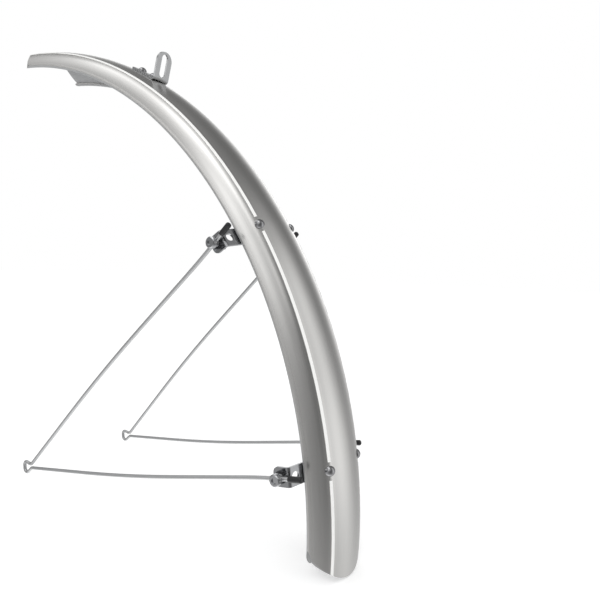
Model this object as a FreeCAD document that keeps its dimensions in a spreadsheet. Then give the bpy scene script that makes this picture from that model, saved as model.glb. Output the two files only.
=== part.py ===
import FreeCAD, Part
import math
import os

# Front bicycle mudguard with two V-shaped wire stays on each side's pair of clips.
# +X points forward, +Y to the rider's left, +Z up. The wheel turns about an axis along Y.
# Angles along the blade are counted from straight above the wheel's centre, towards the rear.
# The part's origin is the centre of the slot in the fork crown bracket.

doc = FreeCAD.newDocument("Mudguard")
sheet = doc.addObject("Spreadsheet::Sheet", "Sizes")

# Driving sizes, in millimetres and degrees.
SIZES = (
    # blade
    ("crown_reach", 365, "wheel centre to the top of the blade's crown"),
    ("blade_width", 53, "over both beads"),
    ("blade_depth", 19, "crown to the lowest point of the beads"),
    ("flank_reach", 8.2, "a bend to the blade's edge, sideways"),
    ("crown_edge_angle", 26.5, "slope of the crown where its arc ends"),
    ("crown_straight", 0.8, "flat between the crown's arc and a bend"),
    ("bend_radius", 2.8, "outside of the bend between crown and flank"),
    ("blade_wall", 1.4, "sheet of the blade"),
    ("bead_radius", 1.5, "round bead along each lower edge"),
    ("tip_corner_angle", 7.5, "where the front corners start"),
    ("tip_cut", 21, "length of the rounded front end"),
    ("end_corner_angle", 88.7, "where the rear corners start"),
    ("end_cut", 23, "length of the rounded rear end"),
    # pinstripes
    ("stripe_width", 1.8, "strip over each bend"),
    ("stripe_sheet", 0.15, "thickness of the strip"),
    ("stripe_gap", 0.02, "strip to blade"),
    ("stripe_break", 5.6, "radius kept free round each rivet"),
    # clips
    ("upper_clip_angle", 55.6, "place of the upper bridge"),
    ("lower_clip_angle", 81.2, "place of the lower bridge"),
    ("bridge_width", 12, "strip width along the blade"),
    ("bridge_sheet", 1.5, "strip thickness"),
    ("bridge_gap", 0.1, "strip to the inside of the crown"),
    ("bridge_edge_angle", 24, "slope where the strip leaves the crown's arc"),
    ("bridge_bend", 2.6, "outer radius of the strip's folds"),
    ("bead_clearance", 0.5, "strip to bead where it passes below"),
    ("ear_stand", 9.5, "edge of the blade to the outer face of an ear"),
    ("ear_slope", 15, "fall of the strip from bead to ear"),
    ("ear_bolt_drop", 6, "fold to the bolt's centre"),
    ("ear_tail", 5.2, "bolt's centre to the ear's end"),
    ("ear_corner", 3.6, "rounding of the ear's free corners"),
    ("ear_hole", 5.4, "round hole in the sloping part"),
    ("ear_hole_place", 5.2, "ear's fold to that hole's centre"),
    # rivets
    ("rivet_head", 6.5, "diameter"),
    ("rivet_dome", 2.1, "height of the head"),
    ("rivet_shank", 3.4, "diameter"),
    ("rivet_tail", 5.2, "diameter of the clinched end"),
    ("rivet_tail_height", 1.2, "height of the clinched end"),
    ("hole_clearance", 0.1, "between a shank and its hole, each side"),
    ("seat_gap", 0.05, "between curved faces that lie on each other"),
    # eyebolts, clamp washers and nuts
    ("bolt_head", 7.5, "diameter"),
    ("bolt_head_length", 3.2, "along the bolt"),
    ("bolt_recess", 3.8, "diameter of the hollow in the head"),
    ("bolt_recess_depth", 0.9, "depth of that hollow"),
    ("bolt_chamfer", 0.6, "edge of the head"),
    ("bolt_shank", 5, "diameter"),
    ("bolt_stand", 1.2, "shank past the nut"),
    ("washer_outer", 8, "diameter over the teeth"),
    ("washer_root", 7, "diameter between the teeth"),
    ("washer_teeth", 16, "teeth round the washer"),
    ("washer_sheet", 1.2, "thickness"),
    ("nut_flats", 8, "across flats"),
    ("nut_height", 4, "along the bolt"),
    ("nut_chamfer", 0.5, "fall of the corners"),
    # stays
    ("stay_wire", 2.6, "diameter"),
    ("wire_clearance", 0.08, "wire to the groove and to the ear"),
    ("eyelet_back", 83, "wheel centre to eyelet, towards the rear"),
    ("eyelet_drop", 0.4, "wheel centre to eyelet, downwards"),
    ("eyelet_side", 50, "middle plane to eyelet"),
    ("eyelet_bore", 5.3, "free round space in the eyelet"),
    ("eyelet_bend", 3.2, "bend of the eyelet's two corners"),
    ("neck_bend", 4.5, "bend from eyelet to leg"),
    ("neck_reach", 5.4, "eyelet's centre to its neck"),
    ("upper_leg_bow", 2, "how far the upper leg bows up"),
    ("lower_leg_bow", 1.8, "how far the lower leg bows down"),
    ("leg_straight", 14, "straight stretch before the bolt"),
    ("leg_end", 15.5, "bolt's centre to the wire's end"),
    ("cap_outer", 3.8, "diameter"),
    ("cap_length", 9.5, "along the wire"),
    ("cap_cover", 8, "wire inside the cap"),
    ("cap_nose", 1.3, "rounding of the closed end"),
    ("cap_taper", 2, "length of the thinner open end"),
    # fork crown bracket
    ("bracket_angle", 30, "where the bracket's tab stands"),
    ("bracket_length", 30, "base along the crown"),
    ("bracket_width", 14, "base and tab"),
    ("bracket_sheet", 1.6, "thickness"),
    ("bracket_bend", 1.2, "inside of the fold"),
    ("bracket_corner", 2.5, "rounding of the base's front corners"),
    ("tab_height", 22.6, "crown to the top of the tab"),
    ("tab_lean", 15, "how far the tab leans forward of upright"),
    ("slot_width", 5.6, "slot in the tab"),
    ("slot_length", 17, "end to end"),
    ("slot_top_wall", 1.8, "slot to the top of the tab"),
    ("bracket_rivet_back", 10, "fold to the rear rivet"),
    ("bracket_rivet_pitch", 14.5, "rear rivet to front rivet"),
)
for row, (alias, value, meaning) in enumerate(SIZES, start=1):
    sheet.set("A%d" % row, alias)
    sheet.set("B%d" % row, str(value))
    sheet.set("C%d" % row, meaning)
    sheet.setAlias("B%d" % row, alias)
doc.recompute()

UP = FreeCAD.Vector(0, 0, 1)
SIDE = FreeCAD.Vector(0, 1, 0)
ORIGIN = FreeCAD.Vector(0, 0, 0)
CUT_PAST = 5.0
ROUND = 360.0


def size(alias):
    """A driving size from the sheet."""
    return float(sheet.get(alias))


def bind(item, prop, formula):
    """Bind a property to the sheet; words in the formula that are aliases become cells."""
    for alias in sorted((name for name, value, meaning in SIZES), key=len, reverse=True):
        formula = formula.replace("[%s]" % alias, "Sizes.%s" % alias)
    item.setExpression(prop, formula)


# Plane geometry. A path is a list of corner points with the radius of the bend at each.
def left_of(direction):
    return FreeCAD.Vector(-direction.y, direction.x, 0)


def path_edges(points, radii, shift=0.0):
    """Lines and arcs of a flat path with rounded corners, moved to its left by shift."""
    edges = []
    start = points[0] + left_of((points[1] - points[0]).normalize()) * shift
    for before, corner, after, radius in zip(points, points[1:], points[2:], radii):
        incoming = (corner - before).normalize()
        outgoing = (after - corner).normalize()
        turn = incoming.getAngle(outgoing)
        side = math.copysign(1.0, incoming.cross(outgoing).z)
        reach = radius * math.tan(turn / 2)
        centre = corner - incoming * reach + left_of(incoming) * (side * radius)
        first = corner - incoming * reach + left_of(incoming) * shift
        last = corner + outgoing * reach + left_of(outgoing) * shift
        bisector = (corner - centre).normalize()
        middle = centre + bisector * (radius - side * shift)
        edges.append(Part.LineSegment(start, first))
        edges.append(Part.Arc(first, middle, last))
        start = last
    finish = points[-1] + left_of((points[-1] - points[-2]).normalize()) * shift
    edges.append(Part.LineSegment(start, finish))
    return edges


def ends(edge):
    shape = edge.toShape()
    return shape.valueAt(shape.FirstParameter), shape.valueAt(shape.LastParameter)


def strip_outline(points, radii, thickness):
    """Closed outline of a bent strip: the given path, and the same path moved to its left."""
    outer = path_edges(points, radii)
    inner = path_edges(points, radii, thickness)
    caps = [Part.LineSegment(ends(outer[-1])[1], ends(inner[-1])[1]),
            Part.LineSegment(ends(inner[0])[0], ends(outer[0])[0])]
    return outer + inner + caps


# Bodies, sketches and features
def new_body(label):
    body = doc.addObject("PartDesign::Body", label)
    body.Label = label
    return body


def plane(body, role):
    return [item for item in body.Origin.OriginFeatures if item.Role == role][0]


def new_sketch(body, name, role, edges, offset=None):
    sketch = body.newObject("Sketcher::SketchObject", name)
    sketch.AttachmentSupport = [(plane(body, role), "")]
    sketch.MapMode = "FlatFace"
    if offset is not None:
        sketch.AttachmentOffset = offset
    sketch.addGeometry(edges, False)
    return sketch


def pad(body, name, sketch, length, midplane=False, backwards=False):
    feature = body.newObject("PartDesign::Pad", name)
    feature.Profile = sketch
    feature.SideType = "Symmetric" if midplane else "One side"
    feature.Reversed = backwards
    bind(feature, "Length", length)
    return feature


def revolve(body, name, sketch, axis, angle, backwards=False):
    feature = body.newObject("PartDesign::Revolution", name)
    feature.Profile = sketch
    feature.ReferenceAxis = (sketch, [axis])
    feature.Reversed = backwards
    bind(feature, "Angle", angle)
    return feature


def pocket(body, name, sketch, length, midplane=False, backwards=False):
    feature = body.newObject("PartDesign::Pocket", name)
    feature.Profile = sketch
    feature.SideType = "Symmetric" if midplane else "One side"
    feature.Reversed = backwards
    bind(feature, "Length", length)
    return feature


def drill(body, name, place, direction, diameter, length):
    """A round hole whose middle is at place."""
    turn = FreeCAD.Rotation(UP, direction)
    hole = body.newObject("PartDesign::SubtractiveCylinder", name)
    hole.AttachmentSupport = [(plane(body, "XY_Plane"), "")]
    hole.MapMode = "FlatFace"
    start = place - turn.multVec(UP) * (length / 2)
    hole.AttachmentOffset = FreeCAD.Placement(start, turn)
    bind(hole, "Radius", "(%s) / 2" % diameter)
    hole.Height = length
    return hole


# Places along the blade. A seat's own axes are forward along the blade, left, and away from the wheel.
def seat_turn(angle):
    return FreeCAD.Rotation(SIDE, -angle)


def on_blade(angle, forward, left, radius):
    return seat_turn(angle).multVec(FreeCAD.Vector(forward, left, radius))


def tab_place(up, through):
    """A place on the bracket's tab: up from the crown and through from its rear face."""
    lean = FreeCAD.Rotation(SIDE, size("tab_lean")).multVec(FreeCAD.Vector(through, 0, up))
    foot = on_blade(size("bracket_angle"), 0, 0, size("crown_reach"))
    return foot + seat_turn(size("bracket_angle")).multVec(lean)


SLOT_HEIGHT = size("tab_height") - size("slot_top_wall") - size("slot_length") / 2
SLOT = tab_place(SLOT_HEIGHT, size("bracket_sheet") / 2)


def place_part(item, place=ORIGIN, turn=FreeCAD.Rotation()):
    """Put an item given about the wheel's centre into the part's own frame."""
    item.Placement = FreeCAD.Placement(place - SLOT, turn)


# Blade section, in lateral and radial millimetres from the top of the crown
def tangent_from(point, centre, radius):
    """Where the line from point touches the circle on its outer side."""
    span = centre - point
    turn = math.asin(radius / span.Length)
    direction = FreeCAD.Rotation(UP, math.degrees(turn)).multVec(span).normalize()
    return point + direction * math.sqrt(span.Length ** 2 - radius ** 2)


def flat(lateral, radial):
    return FreeCAD.Vector(lateral, radial, 0)


edge_slope = math.radians(size("crown_edge_angle"))
half_width = size("blade_width") / 2 - size("flank_reach")
CROWN_RADIUS = (half_width - size("crown_straight") * math.cos(edge_slope)) / math.sin(edge_slope)
crown_drop = CROWN_RADIUS * (1 - math.cos(edge_slope)) + size("crown_straight") * math.sin(edge_slope)
peak = CROWN_RADIUS * (1 / math.cos(edge_slope) - 1)
BEND = flat(half_width, -crown_drop)
EAR_FACE = size("blade_width") / 2 + size("ear_stand")
BEAD = flat(size("blade_width") / 2 - size("bead_radius"), size("bead_radius") - size("blade_depth"))
FLANK_END = tangent_from(BEND, BEAD, size("bead_radius"))
FLANK = (FLANK_END - BEND).normalize()
FLANK_IN = flat(FLANK.y, -FLANK.x)
flank_slope = math.degrees(math.atan2(-FLANK.y, FLANK.x))
RIVET_TILT = (size("crown_edge_angle") + flank_slope) / 2


def mirrored(point):
    return flat(-point.x, point.y)


def raised(edges):
    """Edges of the section moved out to the blade's radius."""
    for edge in edges:
        edge.translate(flat(0, size("crown_reach")))
    return edges


def bead_arc(side):
    """The bead from the flank's outer face round to its inner face."""
    inner_foot = BEAD - FLANK_IN * (size("bead_radius") - size("blade_wall"))
    along = math.sqrt(size("bead_radius") ** 2 - (size("bead_radius") - size("blade_wall")) ** 2)
    inner_end = inner_foot - FLANK * along
    middle = BEAD + (FLANK + FLANK_IN).normalize() * size("bead_radius")
    points = [FLANK_END, middle, inner_end]
    if side < 0:
        points = [mirrored(point) for point in points]
    return Part.Arc(*points), points[2]


SECTION = [FLANK_END, BEND, flat(0, peak), mirrored(BEND), mirrored(FLANK_END)]
SECTION_BENDS = [size("bend_radius"), CROWN_RADIUS, size("bend_radius")]


def blade_section():
    outer = path_edges(SECTION, SECTION_BENDS)
    inner = path_edges(SECTION, SECTION_BENDS, size("blade_wall"))
    left_bead, left_end = bead_arc(1)
    right_bead, right_end = bead_arc(-1)
    inner[0] = Part.LineSegment(left_end, ends(inner[0])[1])
    inner[-1] = Part.LineSegment(ends(inner[-1])[0], right_end)
    return raised(outer + inner + [left_bead, right_bead])


def end_outline(length, sign):
    """What is cut from an end: a frame round a half ellipse that points away from the blade."""
    half = size("blade_width") / 2 + size("seat_gap")
    tip = flat(sign * length, 0)
    flank = flat(0, sign * half)
    if length >= half:
        ellipse = Part.Ellipse(tip, flank, ORIGIN)
        curve = Part.ArcOfEllipse(ellipse, -math.pi / 2, math.pi / 2)
    else:
        ellipse = Part.Ellipse(flank, -tip, ORIGIN)
        curve = Part.ArcOfEllipse(ellipse, math.pi, 2 * math.pi)
    first, last = ends(curve)
    out = first.y / abs(first.y) * CUT_PAST
    far = flat(sign * (length + 2 * CUT_PAST), 0)
    corners = [first, first + flat(0, out), far + flat(0, first.y + out),
               far + flat(0, last.y - out), last - flat(0, out), last]
    lines = [Part.LineSegment(a, b) for a, b in zip(corners, corners[1:])]
    return [curve] + lines


def round_ends(body):
    """Cut both ends of the blade, or of a strip on it, to their half ellipses."""
    for name, angle, length, sign in (("TipCut", size("tip_corner_angle"), size("tip_cut"), 1),
                                      ("EndCut", size("end_corner_angle"), size("end_cut"), -1)):
        offset = FreeCAD.Placement(ORIGIN, seat_turn(angle))
        outline = new_sketch(body, name + "Sketch", "XY_Plane", end_outline(length, sign), offset)
        pocket(body, name, outline, "[crown_reach] + [blade_depth]", backwards=True)


EXTRA_TURN = 1.0
start_angle = size("tip_corner_angle") - math.degrees(size("tip_cut") / size("crown_reach")) - EXTRA_TURN
stop_angle = size("end_corner_angle") + math.degrees(size("end_cut") / size("crown_reach")) + EXTRA_TURN
SPAN = "%.9f" % (stop_angle - start_angle)
CLIPS = (("upper", size("upper_clip_angle")), ("lower", size("lower_clip_angle")))
SIDES = (("left", 1), ("right", -1))


def start_offset():
    return FreeCAD.Placement(ORIGIN, FreeCAD.Rotation(FreeCAD.Vector(1, 0, 0), -start_angle))


def bend_top(side):
    """Middle of a bend's outer face, and the way out of it, in a seat's lateral and radial axes."""
    tilt = math.radians(RIVET_TILT)
    out = flat(math.sin(tilt), math.cos(tilt))
    turn = math.radians(flank_slope - size("crown_edge_angle"))
    top = BEND - out * (size("bend_radius") * (1 / math.cos(turn / 2) - 1))
    if side < 0:
        return mirrored(top), mirrored(out)
    return top, out


def rivet_seat(angle, side):
    """Place and direction of a rivet's axis where it leaves the bend, about the wheel's centre."""
    top, out = bend_top(side)
    place = on_blade(angle, 0, top.x, size("crown_reach") + top.y)
    return place, seat_turn(angle).multVec(FreeCAD.Vector(0, out.x, out.y))


def bracket_seats():
    """Angles of the two rivets through the bracket's base."""
    back = size("bracket_rivet_back")
    return [size("bracket_angle") - math.degrees(reach / size("crown_reach"))
            for reach in (back, back + size("bracket_rivet_pitch"))]


RIVET_HOLE = "[rivet_shank] + 2 * [hole_clearance]"
DRILL_LENGTH = 12.0

# Blade: one sheet with a shallow crown, two sharp bends, straight flanks and round beads
blade = new_body("blade")
section = new_sketch(blade, "Section", "YZ_Plane", blade_section(), start_offset())
revolve(blade, "Arc", section, "H_Axis", SPAN, backwards=True)
round_ends(blade)
for clip, angle in CLIPS:
    for side_name, side in SIDES:
        place, out = rivet_seat(angle, side)
        drill(blade, "RivetHole", place, out, RIVET_HOLE, DRILL_LENGTH)
for angle in bracket_seats():
    drill(blade, "BracketHole", on_blade(angle, 0, 0, size("crown_reach")), seat_turn(angle).multVec(UP),
          RIVET_HOLE, DRILL_LENGTH)
place_part(blade)

# Pinstripes: a thin strip over each bend, broken round every rivet
def stripe_section(side):
    top, out = bend_top(side)
    centre = top - out * size("bend_radius") + flat(0, size("crown_reach"))
    reach = math.degrees(size("stripe_width") / 2 / size("bend_radius"))
    inner = size("bend_radius") + size("stripe_gap")
    outer = inner + size("stripe_sheet")
    rays = [FreeCAD.Rotation(UP, turn).multVec(out) for turn in (-reach, 0, reach)]
    low = [centre + ray * inner for ray in rays]
    high = [centre + ray * outer for ray in rays]
    sides = [Part.LineSegment(low[0], high[0]), Part.LineSegment(low[2], high[2])]
    return [Part.Arc(*low), Part.Arc(*high)] + sides


for side_name, side in SIDES:
    stripe = new_body("pinstripe_%s" % side_name)
    stripe.AllowCompound = True
    section = new_sketch(stripe, "Section", "YZ_Plane", stripe_section(side), start_offset())
    revolve(stripe, "Arc", section, "H_Axis", SPAN, backwards=True)
    round_ends(stripe)
    for clip, angle in CLIPS:
        place, out = rivet_seat(angle, side)
        drill(stripe, "Break", place, out, "2 * [stripe_break]", DRILL_LENGTH)
    place_part(stripe)


# Bridges: a steel strip under the crown that passes below the beads and ends in two upright ears
def bridge_path():
    """Outer face of the strip, from the left ear's end to the middle of the crown."""
    top = size("blade_wall") + size("bridge_gap")
    slope = math.radians(size("ear_slope"))
    away = flat(math.cos(slope), -math.sin(slope))
    below = flat(-math.sin(slope), -math.cos(slope))
    bead_pass = BEAD + below * (size("bead_radius") + size("bead_clearance"))
    fold = bead_pass + away * ((EAR_FACE - bead_pass.x) / away.x)
    ear_end = fold - flat(0, size("ear_bolt_drop") + size("ear_tail"))
    inside = BEAD + FLANK_IN * (size("bead_radius") + size("bead_clearance"))
    down = (inside - (BEND + FLANK_IN * top)).normalize()
    corner = meet(inside, down, bead_pass, away)
    slant = math.radians(size("bridge_edge_angle"))
    crown_top = flat(0, (CROWN_RADIUS - top) / math.cos(slant) - CROWN_RADIUS)
    shoulder = meet(inside, down, crown_top, flat(math.cos(slant), -math.sin(slant)))
    return [ear_end, fold, corner, shoulder, crown_top]


def meet(first, first_way, second, second_way):
    """Where two flat lines cross."""
    gap = second - first
    factor = gap.cross(second_way).z / first_way.cross(second_way).z
    return first + first_way * factor


EAR_END, FOLD, UNDER_BEAD, SHOULDER, CROWN_TOP = bridge_path()
EAR_BOLT = FOLD - flat(0, size("ear_bolt_drop"))


def bridge_outline():
    left = [EAR_END, FOLD, UNDER_BEAD, SHOULDER]
    points = left + [CROWN_TOP] + [mirrored(point) for point in reversed(left)]
    sheet_bend = size("bridge_bend")
    under = size("bead_radius") + size("bead_clearance")
    crown = CROWN_RADIUS - size("blade_wall") - size("bridge_gap")
    radii = [sheet_bend, under, sheet_bend, crown, sheet_bend, under, sheet_bend]
    return raised(strip_outline(points, radii, size("bridge_sheet")))


def free_corners(body, feature):
    """Names of the edges along Y at the free ends of the ears."""
    low = size("crown_reach") + EAR_END.y
    names = []
    for number, edge in enumerate(feature.Shape.Edges, start=1):
        box = edge.BoundBox
        if box.YLength > size("bridge_sheet") / 2 and box.XLength < 1e-6 and abs(box.ZMax - low) < 1e-6:
            names.append("Edge%d" % number)
    return names


for clip, angle in CLIPS:
    bridge = new_body("%s_bridge" % clip)
    outline = new_sketch(bridge, "Outline", "YZ_Plane", bridge_outline())
    strip = pad(bridge, "Strip", outline, "[bridge_width]", midplane=True)
    doc.recompute()
    corners = bridge.newObject("PartDesign::Fillet", "EarCorners")
    corners.Base = (strip, free_corners(bridge, strip))
    bind(corners, "Radius", "[ear_corner]")
    for side_name, side in SIDES:
        top, out = bend_top(side)
        drill(bridge, "RivetHole", FreeCAD.Vector(0, top.x, size("crown_reach") + top.y),
              FreeCAD.Vector(0, out.x, out.y), RIVET_HOLE, DRILL_LENGTH)
        bolt = FreeCAD.Vector(0, side * EAR_FACE, size("crown_reach") + EAR_BOLT.y)
        drill(bridge, "BoltHole", bolt, SIDE, "[bolt_shank] + 2 * [hole_clearance]", 3 * size("bridge_sheet"))
        inward = (UNDER_BEAD - FOLD).normalize()
        middle = FOLD + inward * size("ear_hole_place")
        facing = FreeCAD.Vector(0, -side * inward.y, inward.x)
        drill(bridge, "EarHole", FreeCAD.Vector(0, side * middle.x, size("crown_reach") + middle.y), facing,
              "[ear_hole]", 3 * size("bridge_sheet"))
    place_part(bridge, turn=seat_turn(angle))


# Rivets: a domed head that follows the bend, a shank, and a clinched end inside
def rivet_shape(grip, skirt=0.0, tail_slope=0.0):
    """A rivet along +Z with its seat at the origin; the skirt is what the head reaches below its seat."""
    base = size("rivet_head") / 2
    ball = (base ** 2 + size("rivet_dome") ** 2) / (2 * size("rivet_dome"))
    dome = Part.makeSphere(ball, FreeCAD.Vector(0, 0, size("rivet_dome") - ball))
    dome = dome.common(Part.makeCylinder(base, size("rivet_dome") + 1))
    if skirt:
        dome = dome.fuse(Part.makeCylinder(base, skirt, ORIGIN, -UP))
    shank_radius, tail_radius = size("rivet_shank") / 2, size("rivet_tail") / 2
    flare = (tail_radius - shank_radius) * math.tan(tail_slope)
    shank = Part.makeCylinder(shank_radius, grip + flare, ORIGIN, -UP)
    tail = Part.makeCylinder(tail_radius, size("rivet_tail_height"), FreeCAD.Vector(0, 0, -grip - flare), -UP)
    if flare:
        cone = Part.makeCone(shank_radius, tail_radius, flare, FreeCAD.Vector(0, 0, -grip), -UP)
        shank = shank.fuse(cone)
    return dome, shank.fuse(tail)


def envelope():
    """The blade's outer form at one place, filled, which a head's underside follows."""
    edges = path_edges(SECTION, SECTION_BENDS, -size("seat_gap"))
    first, last = ends(edges[0])[0], ends(edges[-1])[1]
    edges.append(Part.LineSegment(last, first))
    wire = Part.Wire(Part.__sortEdges__([edge.toShape() for edge in raised(edges)]))
    face = Part.Face(wire)
    face.rotate(ORIGIN, FreeCAD.Vector(1, 1, 1), ROUND / 3)
    span = math.degrees(size("rivet_head") / size("crown_reach"))
    face.rotate(ORIGIN, SIDE, span)
    return face.revolve(ORIGIN, SIDE, -2 * span)


def bend_rivet(side):
    """A rivet over a bend, in the seat's own axes."""
    top, out = bend_top(side)
    turn = FreeCAD.Rotation(UP, FreeCAD.Vector(0, out.x, out.y))
    grip, slope = strip_grip()
    head, shank = rivet_shape(grip, size("rivet_dome"), slope)
    seat = FreeCAD.Placement(FreeCAD.Vector(0, top.x, size("crown_reach") + top.y), turn)
    head.Placement = seat
    shank.Placement = seat
    return head.cut(envelope()).fuse(shank).removeSplitter()


def strip_grip():
    """How deep below the bend the clinched end starts, and the slope that lets it fill the strip's fold."""
    top, out = bend_top(1)
    depths, slopes = [], []
    for neighbour in (CROWN_TOP, UNDER_BEAD):
        way = (neighbour - SHOULDER).normalize()
        crossing = meet(top, out, SHOULDER, way)
        lean = math.pi / 2 - way.getAngle(-out)
        slopes.append(lean)
        depths.append((top - crossing).Length + size("bridge_sheet") / math.cos(lean)
                      + size("rivet_shank") / 2 * math.tan(lean))
    return max(depths) + size("hole_clearance"), max(slopes)


for clip, angle in CLIPS:
    for side_name, side in SIDES:
        rivet = doc.addObject("Part::Feature", "%s_%s_rivet" % (clip, side_name))
        rivet.Label = rivet.Name
        rivet.Shape = bend_rivet(side)
        place_part(rivet, turn=seat_turn(angle))

for name, angle in zip(("rear", "front"), bracket_seats()):
    rivet = doc.addObject("Part::Feature", "bracket_rivet_%s" % name)
    rivet.Label = rivet.Name
    below = size("blade_wall") + 2 * size("seat_gap") + size("bracket_sheet") + size("hole_clearance")
    head, shank = rivet_shape(below)
    rivet.Shape = head.fuse(shank).removeSplitter()
    seat = size("crown_reach") + size("seat_gap") + size("bracket_sheet")
    place_part(rivet, on_blade(angle, 0, 0, seat), seat_turn(angle))


# Fork crown bracket: a base that follows the crown and a slotted tab folded up at its rear end
def crown_arc(clearance, half):
    """An arc that follows the crown outside it, and its two ends; half is its reach to each side."""
    radius = CROWN_RADIUS + clearance
    reach = math.degrees(math.asin(half / radius))
    centre = flat(0, size("crown_reach") - CROWN_RADIUS)
    points = [centre + FreeCAD.Rotation(UP, turn).multVec(flat(0, radius)) for turn in (-reach, 0, reach)]
    return Part.Arc(*points), points[0], points[2]


def base_section():
    """The base before its seat is cut, so that the seat is one face."""
    half = size("bracket_width") / 2
    top, right_top, left_top = crown_arc(size("seat_gap") + size("bracket_sheet"), half)
    low, right_low, left_low = crown_arc(-size("bracket_sheet") / 2, half)
    return [top, low, Part.LineSegment(right_top, right_low), Part.LineSegment(left_top, left_low)]


def tab_outline():
    """The tab seen square on, its foot following the crown; lateral, and up from the crown."""
    half = size("bracket_width") / 2
    foot = -size("bracket_sheet") / 2
    edge_drop = CROWN_RADIUS - math.sqrt(CROWN_RADIUS ** 2 - half ** 2)
    shoulder = size("tab_height") - half
    left_foot = flat(half, foot - edge_drop)
    right_foot = mirrored(left_foot)
    return [Part.Arc(left_foot, flat(0, foot), right_foot),
            Part.LineSegment(right_foot, flat(-half, shoulder)),
            Part.Arc(flat(-half, shoulder), flat(0, size("tab_height")), flat(half, shoulder)),
            Part.LineSegment(flat(half, shoulder), left_foot)]


def slot_outline():
    half = size("slot_width") / 2
    top = size("tab_height") - size("slot_top_wall")
    low = top - size("slot_length")
    return [Part.Arc(flat(half, top - half), flat(0, top), flat(-half, top - half)),
            Part.LineSegment(flat(-half, top - half), flat(-half, low + half)),
            Part.Arc(flat(-half, low + half), flat(0, low), flat(half, low + half)),
            Part.LineSegment(flat(half, low + half), flat(half, top - half))]


def tab_frame():
    """The tab's outer face: its plane holds Y and leans forward from the crown's radius."""
    sketch_turn = FreeCAD.Rotation(FreeCAD.Vector(1, 0, 0), size("tab_lean"))
    return FreeCAD.Placement(FreeCAD.Vector(0, size("crown_reach"), 0), sketch_turn)


def below_seat():
    """Everything under the base's curved seat, as a section to be turned about the wheel's axis."""
    seat, first, last = crown_arc(size("seat_gap"), size("bracket_width") / 2 + 1)
    low = flat(0, -size("blade_depth"))
    corners = [first, first + low, last + low, last]
    return [seat] + [Part.LineSegment(a, b) for a, b in zip(corners, corners[1:])]


def fold_edge(feature, height):
    """The edge across the whole strip, near its fold, whose middle is at this height."""
    found = []
    for number, edge in enumerate(feature.Shape.Edges, start=1):
        box = edge.BoundBox
        if box.YLength > size("bracket_width") - 0.01 and box.XMax < 3 * size("bracket_sheet"):
            found.append((abs(box.ZMax - height), "Edge%d" % number))
    return [min(found)[1]]


def front_corners(feature):
    """The two short edges at the front end of the base."""
    far = feature.Shape.BoundBox.XMax
    names = []
    for number, edge in enumerate(feature.Shape.Edges, start=1):
        box = edge.BoundBox
        if box.XMin > far - size("bracket_sheet") and box.YLength < 1e-6:
            names.append("Edge%d" % number)
    return names


bracket = new_body("fork_crown_bracket")
inside_tab = math.degrees(0.6 * size("bracket_sheet") / size("crown_reach"))
base_turn = math.degrees(size("bracket_length") / size("crown_reach")) - inside_tab
base_start = FreeCAD.Placement(ORIGIN, FreeCAD.Rotation(FreeCAD.Vector(1, 0, 0), inside_tab))
base = new_sketch(bracket, "BaseSection", "YZ_Plane", base_section(), base_start)
revolve(bracket, "Base", base, "H_Axis", "%.9f" % base_turn)
tab_sketch = new_sketch(bracket, "TabOutline", "YZ_Plane", tab_outline(), tab_frame())
pad(bracket, "Tab", tab_sketch, "[bracket_sheet]")
seat_sketch = new_sketch(bracket, "BelowSeat", "YZ_Plane", below_seat())
tab = bracket.newObject("PartDesign::Groove", "Seat")
tab.Profile = seat_sketch
tab.ReferenceAxis = (seat_sketch, ["H_Axis"])
tab.Midplane = True
tab.Angle = 4 * base_turn
doc.recompute()
inner_fold = bracket.newObject("PartDesign::Fillet", "InnerFold")
inner_fold.Base = (tab, fold_edge(tab, size("crown_reach") + size("seat_gap") + size("bracket_sheet")))
bind(inner_fold, "Radius", "[bracket_bend]")
doc.recompute()
fold = bracket.newObject("PartDesign::Fillet", "OuterFold")
fold.Base = (inner_fold, fold_edge(inner_fold, size("crown_reach") + size("seat_gap")))
bind(fold, "Radius", "[bracket_bend] + [bracket_sheet]")
doc.recompute()
corners = bracket.newObject("PartDesign::Fillet", "BaseCorners")
corners.Base = (fold, front_corners(fold))
bind(corners, "Radius", "[bracket_corner]")
slot_sketch = new_sketch(bracket, "SlotOutline", "YZ_Plane", slot_outline(), tab_frame())
pocket(bracket, "Slot", slot_sketch, "4 * [bracket_sheet]", midplane=True)
for turn in [size("bracket_angle") - angle for angle in bracket_seats()]:
    drill(bracket, "RivetHole", on_blade(-turn, 0, 0, size("crown_reach")), seat_turn(-turn).multVec(UP),
          RIVET_HOLE, DRILL_LENGTH)
place_part(bracket, turn=seat_turn(size("bracket_angle")))

# Places of the four bolts and of the wires that they clamp
WIRE_SIDE = EAR_FACE + size("washer_sheet") + size("wire_clearance") + size("stay_wire") / 2
HEAD_UNDER = WIRE_SIDE + size("stay_wire") / 2 + 2 * size("wire_clearance")
EYELET = FreeCAD.Vector(-size("eyelet_back"), 0, -size("eyelet_drop"))


def bolt_place(angle):
    """A bolt's axis in the wheel's middle plane."""
    return on_blade(angle, 0, 0, size("crown_reach") + EAR_BOLT.y)


def wire_way(angle):
    """The way that a leg points past its bolt, in the wheel's plane."""
    return (bolt_place(angle) - EYELET).normalize()


def bolt_turn(angle, side):
    """Turns a fastener drawn along +Y, its wire along +Z, to its bolt; the right one is turned about."""
    way = wire_way(angle)
    upright = FreeCAD.Rotation(SIDE, math.degrees(math.atan2(way.x, way.z)))
    if side < 0:
        return upright * FreeCAD.Rotation(UP, 180)
    return upright


def turned_outline(points):
    return [Part.LineSegment(a, b) for a, b in zip(points, points[1:] + points[:1])]


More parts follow.
